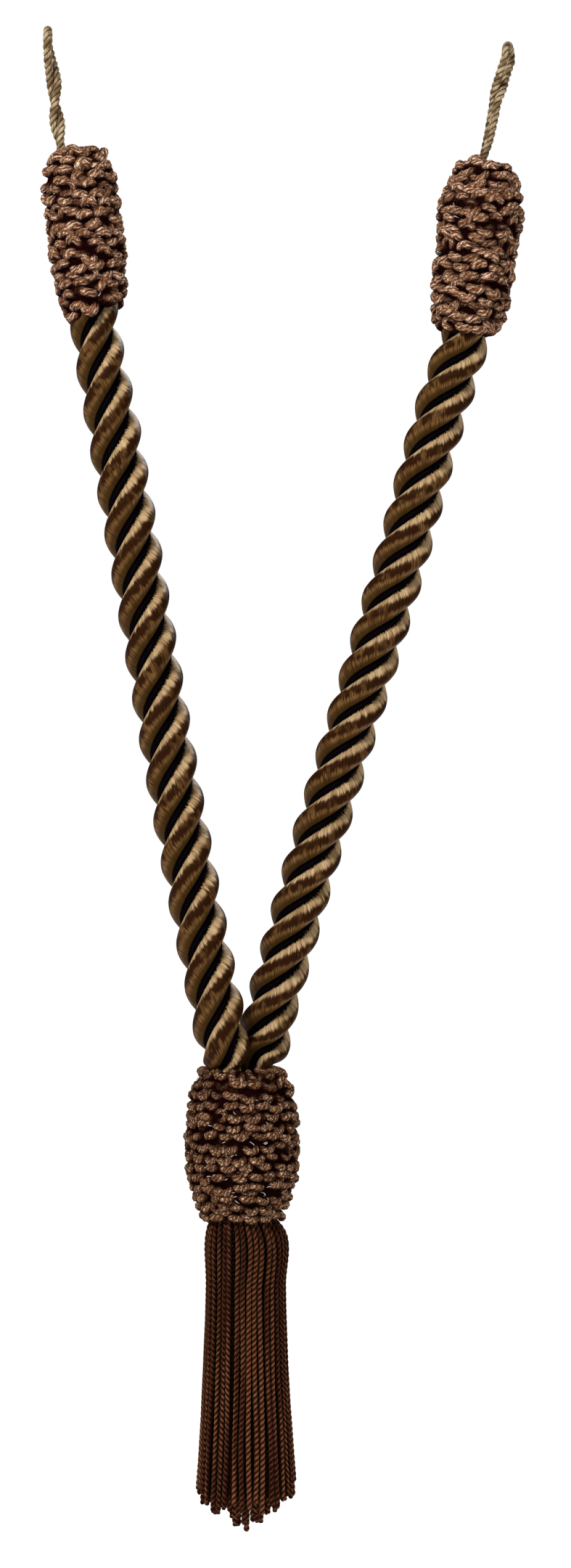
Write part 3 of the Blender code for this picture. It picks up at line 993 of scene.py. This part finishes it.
# %% Hoops on a crown
CROWN_RINGS = ((0.72, 7), (0.15, 2))  # share of the top's radius, and how many hoops
CROWN_CLEAR = 5.0
CROWN_CURVE = 12.0
CROWN_DOME = 2.2
CROWN_ASKEW = 25  # degrees


def crown_hoops(outline, size, draw, clear_of, rise):
    """Hoops over a rounded top, clear of the point where a cord goes in."""
    tall, radius = outline[-1]
    upward = Vector((0.0, 0.0, 1.0))
    for reach, count in CROWN_RINGS:
        for step in range(count):
            turn = math.tau * (step + draw.uniform(-ROW_ODD, ROW_ODD)) / count
            centre = Vector((math.cos(turn), math.sin(turn), 0.0)) * reach * radius
            if (centre - clear_of).length < CROWN_CLEAR:
                continue
            heading = turn + math.radians(90 + draw.gauss(0, CROWN_ASKEW))
            across = Vector((math.cos(heading), math.sin(heading), 0.0))
            centre.z = tall + rise - CROWN_DOME * reach
            yield hoop_line(centre, across, upward, CROWN_CURVE, 0.0, size, draw)


print("crowns have", len(CROWN_RINGS), "rings of hoops")

# %% [markdown]
# ### Gimp and core finishes
#
# Gimp is matt brown.  A ridge along the turns of the UV map raises the crests of its plies, and the colour has a
# painted highlight on the crests and painted shade in the grooves.  Streaks of yarn run with the plies, and a slower
# noise warms some hoops.  Light hardly reaches between the hoops, so painted shade sinks the colour to near-black with
# depth and on faces turned aside, which two numbers at each point tell.  The core is coloured near-black, a painted
# shade for the gaps between the hoops.

# %% Gimp and core materials
BROWN_SHADE = (0.0115, 0.0009, 0.0006)
BROWN_WARM = (0.055, 0.014, 0.006)
GROOVE_SHADE_BROWN = (0.052, 0.0125, 0.0042)
CORE_SHADE_THREAD = ((0.002, 0.0004, 0.0005), (0.009, 0.0016, 0.0015))
GIMP_RADIUS = 2.2 * MM
GIMP_STRETCH = 0.35
# Plies, their pitch, how much they look plaited, how speckled they are, their middle colour and their painted
# highlight.
SLEEVE_LOOK = (6, 19.0 * MM, 0.15, 0.7, (0.180, 0.081, 0.037), (0.88, 0.62, 0.46))
HEAD_LOOK = (4, 7.0 * MM, 0.45, 1.2, (0.136, 0.060, 0.024), (0.80, 0.54, 0.37))


def ply_ridge(along, around, plies, turns):
    """1 on the crest of a ply and 0 in the groove between two."""
    wound = around * plies + along * (turns * plies)
    across = wound.math("FRACT", wound) - 0.5
    return 1 - across * across * 4


def attribute(start, name):
    """A number kept at each point of a mesh."""
    return start.node("ShaderNodeAttribute", {"attribute_name": name}, output=2)


def darkened(colour, dark, *shares):
    """A colour mixed towards a dark one by each of the shares in turn: painted shade."""
    for share in shares:
        colour = mixed(share, colour, dark)
    return colour


def gimp(name, plies, pitch, plaiting, speckle, middle, gimp_highlight):
    material, shader, start = new_material(name, 0.9, Specular_IOR_Level=0.01)
    along, around = around_and_along(start)
    whole = object_place(start)
    warp = (noise(whole, 2.0 * MM) - 0.5) * 0.2
    ridge = ply_ridge(along, around + warp, plies, 1 / pitch)
    crossing = ply_ridge(along, around + warp, plies, -1 / pitch)
    plaited = ridge * (1 - plaiting) + ridge * crossing * plaiting
    place = yarn_place(along, around, 1 / pitch, GIMP_RADIUS, GIMP_STRETCH)
    fibre = noise(place, 0.6 * MM, 2.0)
    grain = noise(whole, 0.75 * MM, 1.5)
    patch = noise(whole, 5.0 * MM, 1.0)
    height = 0.5 + (plaited - 0.6) * 0.4 + (fibre - 0.5) * 1.1 + (grain - 0.5) * speckle
    # Painted shade in the ply grooves and painted highlight on the crests.
    low = mixed(height.between(0.14, 0.48), GROOVE_SHADE_BROWN, middle)
    toned = mixed(height.between(0.50, 0.94), low, gimp_highlight)
    warm = mixed(patch.between(0.42, 0.72) * 0.5, toned, BROWN_WARM)
    # Painted shade on faces turned aside from the light, and deep between the hoops.
    aside_shade = attribute(start, "facing").between(0.72, -0.10) * 0.82
    depth = attribute(start, "sunk") + (grain - 0.5) * (1.6 * MM)
    deep_shade = depth.between(0.6 * MM, 2.6 * MM) * 0.95
    coated(shader, darkened(warm, BROWN_SHADE, aside_shade, deep_shade), height, 1.3 * MM)
    return material


def shade_dark_core():
    material, shader, start = new_material("shade_dark_core", 1.0, Specular_IOR_Level=0.0)
    # The core is near-black as painted shade for the gaps between the hoops.
    thread = noise(object_place(start), 1.2 * MM)
    coated(shader, mixed(thread, *CORE_SHADE_THREAD), thread, 0.5 * MM)
    return material


SLEEVE_GIMP = gimp("sleeve_gimp", *SLEEVE_LOOK)
HEAD_GIMP = gimp("head_gimp", *HEAD_LOOK)
SHADE_DARK_CORE = shade_dark_core()
print("gimp of", SLEEVE_LOOK[0], "and", HEAD_LOOK[0], "plies")

# %% [markdown]
# ### Cores and depth
#
# Under the hoops lies a padded core, a turned body: one profile is spun, with a well in its lower face for what goes
# in there.  The two numbers at a point, which set the painted shade, are its depth under the outline, and how far it
# faces out and up, where the light comes from.

# %% Cores and depth
CORE_SUNK = 2.9 * MM
CORE_SIDES = 40
CORE_LIP = 0.6 * MM  # how far the lower face is raised
# How much facing out and facing up count towards the light, for painted shade.
FACING_OUT = 0.8
FACING_UP = 0.45


def core(name, outline, well_radius, well_depth, home, slant=0.0):
    """A turned body a little inside the outline, with a well in its lower face."""
    tall = outline[-1][0] * MM - CORE_SUNK * 0.6
    profile = [(0.0, well_depth), (well_radius, well_depth), (well_radius, CORE_LIP)]
    profile += [(outline[0][1] * MM - CORE_SUNK, CORE_LIP)]
    profile += [(radius * MM - CORE_SUNK, height * MM) for height, radius in outline[1:-1]]
    profile += [(outline[-1][1] * MM - CORE_SUNK, tall), (0.0, tall)]
    bm = bmesh.new()
    chain = [bm.verts.new((radius, 0.0, height)) for radius, height in profile]
    edges = [bm.edges.new(pair) for pair in zip(chain, chain[1:])]
    bmesh.ops.spin(
        bm,
        geom=chain + edges, cent=(0, 0, 0), axis=(0, 0, 1), dvec=(0, 0, 0),
        angle=math.tau, steps=CORE_SIDES, use_merge=True,
    )
    bmesh.ops.remove_doubles(bm, verts=bm.verts[:], dist=0.01 * MM)
    bmesh.ops.recalc_face_normals(bm, faces=bm.faces[:])
    for vert in bm.verts:
        hem = hem_height(slant, math.atan2(vert.co.y, vert.co.x)) * MM
        vert.co.z = max(vert.co.z, hem)
    # Spin's order of faces changes from run to run, so they are sorted.
    bm.verts.index_update()
    corners = {face: sorted(vert.index for vert in face.verts) for face in bm.faces}
    bm.faces.sort(key=lambda face: corners[face][0] + corners[face][-1] / len(bm.verts))
    bmesh.ops.transform(bm, matrix=home, verts=bm.verts[:])
    mesh = bpy.data.meshes.new(name)
    bm.to_mesh(mesh)
    bm.free()
    mesh.shade_smooth()
    return mesh


def keep_number(mesh, name, values):
    mesh.attributes.new(name, "FLOAT", "POINT").data.foreach_set("value", values)


def note_depth(mesh, outline, top=math.inf):
    """Keeps how far each point lies under a turned outline or its top, and how it faces; both set the painted shade.
    """
    places = np.empty(len(mesh.vertices) * 3, np.float32)
    mesh.vertices.foreach_get("co", places)
    x, y, z = places.reshape(-1, 3).T / MM
    away = np.hypot(x, y)
    sunk = np.minimum(read_table(outline, z) - away, top - z)
    keep_number(mesh, "sunk", sunk * MM)
    normals = np.empty(len(mesh.vertices) * 3, np.float32)
    mesh.vertex_normals.foreach_get("vector", normals)
    across, along, up = normals.reshape(-1, 3).T
    outward = (across * x + along * y) / np.maximum(away, 0.001)
    keep_number(mesh, "facing", outward * FACING_OUT + up * FACING_UP)


def hooped(name, lines, outline, size, home):
    """One mesh of all the hoops on a core, moved home with it."""
    circle = ring_outline(0.0, 0.0, size["radius"] * MM, HOOP_SIDES)
    mesh = swept(name, list(lines), [circle])
    note_depth(mesh, outline, top=outline[-1][0])
    mesh.transform(home)
    return mesh


print("cores lie", CORE_SUNK / MM, "mm inside their outlines")

# %% [markdown]
# ## Sleeves
#
# A sleeve hides where the rope ends and the loop begins.  Hoops stand on its core in rows up to a
# knotted top.  The lower edge of the left one slants, as hand work does.

# %% Sleeves
SLEEVE_OUTLINE = {
    "left": (
        (0, 15.8), (3, 16.1), (9, 17.4), (17, 18.9), (27, 19.4), (34, 20.3), (43, 19.5),
        (52, 19.5), (60, 20.2), (68, 19.6), (73, 18.2), (77, 16.4), (81, 14.2),
        (SLEEVE_TALL["left"], 10.8),
    ),
    "right": (
        (0, 16.4), (5, 17.8), (14, 20.0), (24, 21.4), (34, 20.9), (44, 20.8), (54, 22.2),
        (62, 22.1), (70, 20.6), (76, 18.2), (81, 15.8),
        (SLEEVE_TALL["right"], 11.2),
    ),
}
# Millimetres: the cord's radius, half the width between a hoop's feet, the spacing along a row, the
# droop and its spread, how far a hoop tips and a row is ragged, and how deep the odd ones lie.
# Shares: how knobbly the cord is, and how many hoops are curled.
SLEEVE_SIZE = dict(
    radius=2.4, half_wide=3.7, spacing=10.2, rows=18, droop=0.3, droop_spread=2.1, tip=1.2,
    ragged=0.8, odd=100, filler_sunk=(1.2, 2.2), knob=0.07, curl=3.1, curled=0.09,
)
SLEEVE_SEED = {"left": 3, "right": 4}
HEM_SLANT = {"left": 9.0, "right": 0.0}  # millimetres, up to the right
CROWN_RISE = {"left": -0.4, "right": -2.2}
WELL_RADIUS = ROPE_DIAMETER / 2 * ROPE_TOP_SWELL * 0.93

sleeve_homes = {}
for side, outline in SLEEVE_OUTLINE.items():
    home = Matrix.Translation(in_sleeve(side, 0.0, 0.0) * MM)
    home = home @ Matrix.Rotation(math.radians(SLEEVES[side]["lean"]), 4, "Y")
    sleeve_homes[side] = home
    slant = HEM_SLANT[side]
    mesh = core("sleeve_core_" + side, outline, WELL_RADIUS, ROPE_IN_SLEEVE, home, slant)
    add_piece(mesh, SHADE_DARK_CORE, "brown_gimp", ("sleeve_" + side,))
    draw = random.Random(SLEEVE_SEED[side])
    lines = list(row_hoops(outline, SLEEVE_SIZE, draw, slant))
    loop_foot = Vector((SLEEVES[side]["loop"], 0.0, 0.0))
    lines += list(crown_hoops(outline, SLEEVE_SIZE, draw, loop_foot, CROWN_RISE[side]))
    mesh = hooped("sleeve_hoops_" + side, lines, outline, SLEEVE_SIZE, home)
    add_piece(mesh, SLEEVE_GIMP, "brown_gimp")

# %% [markdown]
# ## Tassel head
#
# The head is the same work on a barrel, with smaller, tighter hoops.

# %% Head
HEAD_CENTRE = 96.3 * MM
HEAD_BASE = -587.5 * MM
HEAD_OUTLINE = (
    (0, 20.2), (4.5, 22.0), (9.5, 24.0), (14.5, 26.4), (19.5, 27.8), (25.5, 28.7), (32.5, 29.2),
    (42.5, 29.2), (50.5, 28.7), (55.5, 28.1), (60.5, 27.1), (65.5, 26.2), (70.5, 23.6), (75, 22.0),
)
HEAD_SIZE = dict(
    radius=2.1, half_wide=3.3, spacing=9.3, rows=15, droop=-1.6, droop_spread=1.0, tip=0.7,
    ragged=0.4, odd=230, filler_sunk=(1.1, 2.4), knob=0.10, curl=2.6, curled=0.04,
)
HEAD_SEED = 7
HEADING_RADIUS = 17.2 * MM
HEADING_RECESS = 4.0 * MM

head_home = Matrix.Translation((HEAD_CENTRE, 0.0, HEAD_BASE))
mesh = core("head_core", HEAD_OUTLINE, HEADING_RADIUS * 0.9, HEADING_RECESS, head_home)
add_piece(mesh, SHADE_DARK_CORE, "brown_gimp", ("head",))
lines = row_hoops(HEAD_OUTLINE, HEAD_SIZE, random.Random(HEAD_SEED))
mesh = hooped("head_hoops", lines, HEAD_OUTLINE, HEAD_SIZE, head_home)
add_piece(mesh, HEAD_GIMP, "brown_gimp")

# %% [markdown]
# ### Clear stitches
#
# Clear nylon thread ties the hoops down and shows as small bright stitches between them.  Each is a very thin short
# hoop a little below the crowns, coloured pale grey as a painted glint on the clear thread.

# %% Stitches
STITCH_SIZE = dict(
    radius=0.17, half_wide=1.0, droop=0.0, droop_spread=0.5, tip=1.0, knob=0.05, curled=0.0
)
STITCH_SUNK = (0.4, 1.9)
STITCH_HEIGHTS = (0.1, 0.95)  # shares of the height of what they tie
STITCH_SIDES = 5
STITCH_SEED = 5
# Pale greys, a painted glint on clear thread.
NYLON_GLINT = ((0.20, 0.18, 0.17), (0.55, 0.54, 0.53))
STITCH_BEDS = {
    "sleeve_left": (SLEEVE_OUTLINE["left"], 24, sleeve_homes["left"]),
    "sleeve_right": (SLEEVE_OUTLINE["right"], 24, sleeve_homes["right"]),
    "head": (HEAD_OUTLINE, 120, head_home),
}


def clear_nylon():
    material, shader, start = new_material("clear_nylon", 0.15, IOR=1.53)
    glint_noise = noise(object_place(start), 0.5 * MM)
    connect(mixed(glint_noise, *NYLON_GLINT), shader.inputs["Base Color"])
    connect(glint_noise * 0.3 + 0.05, shader.inputs["Roughness"])
    return material


def stitches(name, outline, count, home, draw):
    lines = []
    for _ in range(count):
        turn = draw.uniform(0, math.tau)
        height = draw.uniform(*STITCH_HEIGHTS) * outline[-1][0]
        sunk = draw.uniform(*STITCH_SUNK)
        lines.append(side_hoop(outline, turn, height, sunk, STITCH_SIZE, draw))
    circle = ring_outline(0.0, 0.0, STITCH_SIZE["radius"] * MM, STITCH_SIDES)
    mesh = swept(name, lines, [circle])
    mesh.transform(home)
    return mesh


CLEAR_NYLON = clear_nylon()
draw = random.Random(STITCH_SEED)
for place, (outline, count, home) in STITCH_BEDS.items():
    mesh = stitches("stitches_" + place, outline, count, home, draw)
    add_piece(mesh, CLEAR_NYLON, "brown_gimp")

# %% [markdown]
# ## Skirt
#
# The skirt is bullion: each strand is a fine cord doubled and twisted on itself, which leaves
# a small rounded loop at its end.  The strands hang from a bound heading in five rings.  The outer
# ring gets the most sections: the others show only at the hem and between its strands.
# Each hangs a little out of place, sways more towards the hem and ends unevenly.

# %% Rings and strands
# How many strands, and the ring's radius at the root, under the head and at the hem.
SKIRT_RINGS = (
    (38, 14.8, 18.5, 23.7), (34, 12.2, 16.0, 20.2), (28, 9.5, 13.0, 16.2), (20, 6.6, 9.8, 12.2),
    (12, 3.6, 6.2, 7.8),
)
SKIRT_ROOT = 1.2  # height of the roots above the head's lower face
SKIRT_SHOULDER = 6.0
SKIRT_WAIST = 0.55


def ring_profile(ring, fall):
    """Height and radius down a ring of strands, from the root to the hem, in millimetres."""
    _, root, under, hem = SKIRT_RINGS[ring]
    flare = hem - under
    return (
        (SKIRT_ROOT, root),
        (-SKIRT_SHOULDER, under),
        (-0.25 * fall, under + 0.3),
        (-SKIRT_WAIST * fall, under + flare * SKIRT_WAIST**2),
        (-0.8 * fall, under + flare * 0.66),
        (-fall, hem),
    )


STRAND_PITCH = 5.6 * MM
STRAND_TIP = ((0.0, 0.5), (0.4, 0.82), (1.0, 1.0))  # mm from the end, swell
STRAND_TOP = ((-30.0, 1.0), (-6.0, 0.92), (1.2, 0.8))  # height under the head in mm, swell
STRAND_ASIDE = 0.7  # millimetres that a strand hangs out of its even place
STRAND_SWAY = (0.0, 0.1, 0.3, 0.45, 0.6, 0.8)  # at each row of its ring's profile
STRAND_STEP = 0.68
STRAND_RIGHT = 0.7  # share of them that twist to the right
SKIRT_FALL = 133.5
SKIRT_FULLER = 9.0  # how much longer the strands are in front and behind
SKIRT_RING_MORE = 2.0
SKIRT_RING_SWELL = 0.05
SKIRT_UNEVEN = 4.5
SKIRT_DRIFT = 1.8
HEM_SHOWS = 38.0  # of an inner strand; higher up it keeps one section in INNER_KEEPS
INNER_KEEPS = 3


def strand_line(ring, index, draw):
    count, _, under, _ = SKIRT_RINGS[ring]
    turn = math.tau * (index + 0.5 * (ring % 2)) / count
    fall = SKIRT_FALL + ring * SKIRT_RING_MORE + abs(math.sin(turn)) * SKIRT_FULLER
    fall += draw.uniform(-SKIRT_UNEVEN, SKIRT_UNEVEN)
    turn += draw.uniform(-STRAND_ASIDE, STRAND_ASIDE) / under
    proud = draw.uniform(-STRAND_ASIDE, STRAND_ASIDE)
    rows = []
    for (height, radius), share in zip(ring_profile(ring, fall), STRAND_SWAY):
        off = turn + draw.uniform(-share, share) / radius
        out = radius + draw.uniform(-share, share) * 0.5 + proud * share
        drift = 0.0 if height > 0 else SKIRT_DRIFT
        rows.append((out * math.cos(off) + drift, out * math.sin(off), height, 1.0))
    route = smooth_route(rows, STRAND_STEP)
    from_end = walked_along(route[::-1, :3])[::-1]
    swell = read_table(STRAND_TIP, from_end) * read_table(STRAND_TOP, route[:, 2])
    route[:, 3] = swell * (1 + SKIRT_RING_SWELL * ring)
    if ring > 0:
        hidden = route[from_end > HEM_SHOWS][::INNER_KEEPS]
        route = np.vstack([hidden, route[from_end <= HEM_SHOWS]])
    lay = STRAND_PITCH if draw.random() < STRAND_RIGHT else -STRAND_PITCH
    return laid_line(route, lay, draw.uniform(0, 360))


print(sum(count for count, *_ in SKIRT_RINGS), "strands")

# %% [markdown]
# ### Bullion finish
#
# The crests of the two plies get a warm painted highlight.  Painted shade makes the grooves nearly black, and also
# whatever lies deep, faces aside or is packed under the head.  Noise stretched down the skirt makes whole strands
# lighter or darker.

# %% Bullion material
BULLION_SHADE = (0.0075, 0.0006, 0.0004)
STRAND_COLOUR = ((0.020, 0.0018, 0.0010), (0.062, 0.0140, 0.0040))
STRAND_CREST_HIGHLIGHT = (0.185, 0.088, 0.050)
STRAND_SHEEN = (0.75, 0.47, 0.16, 1.0)
STRAND_PLIES = 2
TONE_WIDE = 3.4 * MM
TONE_STRETCH = 0.03
# Painted shade under the head fades out this far along a strand.
PACKED_FROM = 110.0 * MM  # along a strand from its root


def bullion():
    material, shader, start = new_material(
        "bullion_cord", 0.8, Specular_IOR_Level=0.01, Sheen_Weight=0.09, Sheen_Tint=STRAND_SHEEN
    )
    along, around = around_and_along(start)
    whole = object_place(start)
    fibre = noise(whole, 0.45 * MM, 2.0)
    stretched = {"Vector": whole, "Scale": (1.0, 1.0, TONE_STRETCH)}
    tone = noise(start.node("ShaderNodeMapping", None, stretched), TONE_WIDE)
    lighter = tone.between(0.42, 0.58)
    ridge = ply_ridge(along, around, STRAND_PLIES, 0.0)
    # Painted highlight on the crests of the plies.
    crest_highlight = ridge.between(0.76, 1.0) * fibre.between(0.3, 0.62) * (lighter * 0.65 + 0.35)
    lit = mixed(crest_highlight, mixed(lighter, *STRAND_COLOUR), STRAND_CREST_HIGHLIGHT)
    # Painted shade in the grooves, deep in the skirt, on faces turned aside and packed under the head.
    groove_shade = ridge.between(0.68, 0.20) * 0.9
    deep_shade = attribute(start, "sunk").between(0.5 * MM, 2.6 * MM) * 0.92
    aside_shade = attribute(start, "facing").between(0.66, 0.10) * 0.85
    packed_shade = along.between(PACKED_FROM, 0.0) * 0.42
    colour = darkened(lit, BULLION_SHADE, groove_shade, deep_shade, aside_shade, packed_shade)
    coated(shader, colour, fibre, 0.35 * MM)
    return material


BULLION = bullion()
print("strands darken over", PACKED_FROM / MM, "mm")

# %% [markdown]
# ### Hang the skirt
#
# One outline goes round both plies.  Depth counts from the outer ring's profile, which runs in to
# the axis below the hem.

# %% Hang the skirt
STRAND_PLY_RADIUS = 0.98 * MM
STRAND_PLY_OUT = 0.36 * MM
STRAND_PLY_POINTS = 5
STRAND_RADIUS = (STRAND_PLY_OUT + STRAND_PLY_RADIUS) / MM
SKIRT_TAPER = 20.0  # millimetres below the fall, where that profile ends
SKIRT_SEED = 21


def laid_outline(plies, out, radius, sides):
    """The outside of several round plies side by side, as one closed line."""
    points = []
    for step in range(plies * sides):
        off = (step % sides) / sides * math.tau / plies - math.pi / plies
        reach = radius**2 - (out * math.sin(off)) ** 2
        distance = out * math.cos(off) + math.sqrt(max(reach, 0.0))
        angle = -step * math.tau / (plies * sides)
        points.append((distance * math.cos(angle), distance * math.sin(angle), 0.0))
    return points


skirt_outline = [(-SKIRT_FALL - SKIRT_TAPER, 0.0)]
for height, radius in reversed(ring_profile(0, SKIRT_FALL)):
    skirt_outline.append((height, radius + STRAND_RADIUS))
strand_outline = laid_outline(STRAND_PLIES, STRAND_PLY_OUT, STRAND_PLY_RADIUS, STRAND_PLY_POINTS)
draw = random.Random(SKIRT_SEED)
for ring, (count, *_) in enumerate(SKIRT_RINGS):
    lines = [strand_line(ring, index, draw) for index in range(count)]
    mesh = swept(f"skirt_ring_{ring}", lines, [strand_outline])
    mesh.transform(Matrix.Translation((-SKIRT_DRIFT * MM, 0.0, 0.0)))
    note_depth(mesh, skirt_outline)
    mesh.transform(Matrix.Translation((HEAD_CENTRE + SKIRT_DRIFT * MM, 0.0, HEAD_BASE)))
    add_piece(mesh, BULLION, "brown_skirt", ("skirt",) if ring == 0 else ())

# %% [markdown]
# ## Sizes
#
# The boxes of the solids and of the dressed tieback go into a small file.

# %% Write the sizes
dressed_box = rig.bounds()
sizes = {
    "cad": [list(corner) for corner in cad_box],
    "visual": [list(corner) for corner in dressed_box],
}
with open("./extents.json", "w") as file:
    json.dump(sizes, file, indent=1)
for name, (low, high) in sizes.items():
    print(name, [round((b - a) / MM, 1) for a, b in zip(low, high)], "mm")
